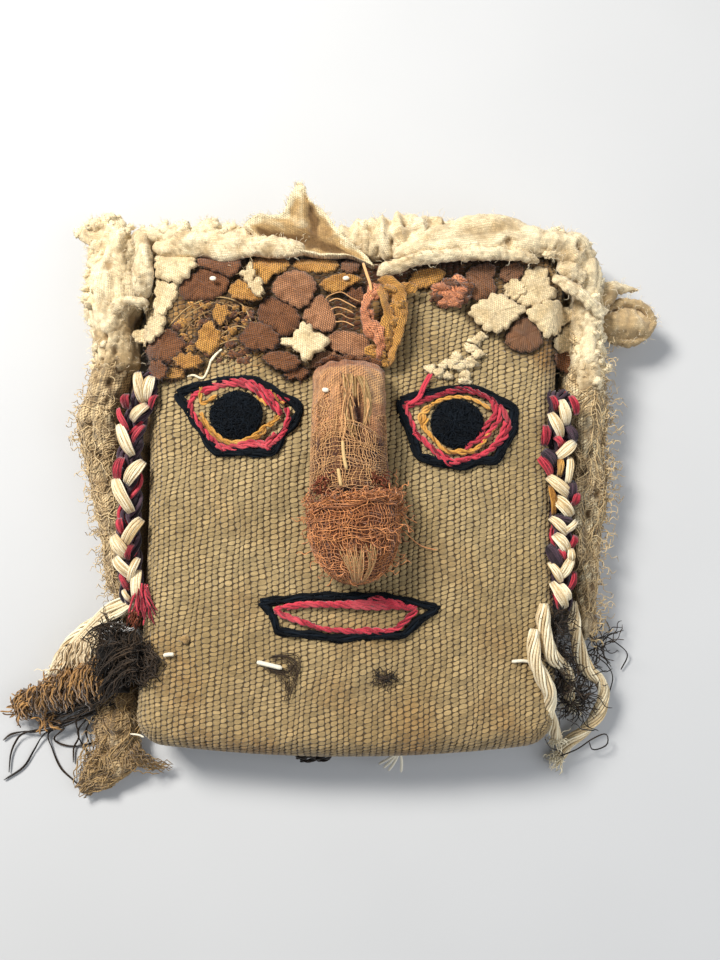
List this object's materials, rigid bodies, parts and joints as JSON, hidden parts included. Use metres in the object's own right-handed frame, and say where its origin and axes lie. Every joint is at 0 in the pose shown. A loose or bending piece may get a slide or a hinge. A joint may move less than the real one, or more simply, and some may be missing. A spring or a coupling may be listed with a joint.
{
  "type": "woven textile mask",
  "caption": "Small stuffed textile mask with a plain-weave face, rolled cloth nose, stitched eyes and mouth, scalloped woven headband, yarn braids and a frayed cotton wrapping.",
  "frame": {"origin": "on the flat back where the mask lies, under the middle of the face", "axes": "+Z out of the face, +Y to the forehead, +X to the right as the face is looked at"},
  "size_m": [0.1917, 0.1756, 0.0445],
  "materials": {
    "face_cloth": "matt plain weave of tan cotton yarn",
    "gauze": "open cotton gauze, lumpy and frayed",
    "cotton": "soft cream cotton cloth with raw edges",
    "nose_cloth": "faded orange-brown gauze over straw",
    "tip_gauze": "orange open gauze, frayed",
    "patch_brown": "fine red-brown weave",
    "patch_ochre": "fine ochre weave, worn",
    "patch_cream": "fine cream weave",
    "navy_yarn": "blue-black wool yarn",
    "red_yarn": "crimson and gold wool yarn",
    "cream_yarn": "cream cotton yarn, loosely twisted",
    "hair": "dark brown to black curled hair",
    "wool": "brown combed wool"
  },
  "bodies": {
    "root": {"face_pad": "face_cloth", "nose_roll": "nose_cloth", "nose_tip": "tip_gauze", "left_eye_outline": "navy_yarn", "left_eye_rings": "red_yarn", "left_eye_pupil": "navy_yarn", "right_eye_outline": "navy_yarn", "right_eye_rings": "red_yarn", "right_eye_pupil": "navy_yarn", "mouth_outline": "navy_yarn", "mouth_ring": "red_yarn", "crumpled_band": "patch_ochre", "crumpled_patch": "patch_brown", "lobe_chain": "patch_cream", "chin_knot_left": "hair", "chin_knot_right": "hair", "gauze_left": "gauze", "gauze_right": "gauze", "gauze_corner": "gauze", "cloth_left_roll": "cotton", "cloth_left_tab": "cotton", "cloth_top_edge": "cotton", "cloth_corner_lump": "cotton", "cloth_right_roll": "cotton", "cloth_corner_strip": "cotton", "cloth_corner_loop": "cotton", "cloth_flap": "cotton", "braid_left": "cream_yarn", "braid_right": "cream_yarn", "tail_left": "cream_yarn", "tail_right_inner": "cream_yarn", "tail_right_middle": "cream_yarn", "tail_right_outer": "cream_yarn", "hair_tuft_left": "hair", "wool_tuft_left": "wool", "hair_fluff_right": "hair", "patch_cream_corner": "patch_cream", "patch_cream_strip": "patch_cream", "patch_cream_temple": "patch_cream", "patch_brown_wide": "patch_brown", "patch_ochre_top": "patch_ochre", "patch_ochre_left": "patch_ochre", "patch_brown_upper": "patch_brown", "patch_ochre_leaf": "patch_ochre", "patch_brown_middle": "patch_brown", "patch_brown_inner": "patch_brown", "patch_brown_lower": "patch_brown", "patch_cream_star": "patch_cream", "patch_brown_brow": "patch_brown", "patch_brown_bridge": "patch_brown", "patch_ochre_worn": "patch_ochre", "patch_brown_temple": "patch_brown", "patch_ochre_right": "patch_ochre", "patch_brown_right": "patch_brown", "patch_cream_wide": "patch_cream", "patch_cream_upper": "patch_cream", "patch_cream_lower": "patch_cream", "patch_brown_outer": "patch_brown", "patch_cream_edge": "patch_cream"}
  },
  "joints": []
}
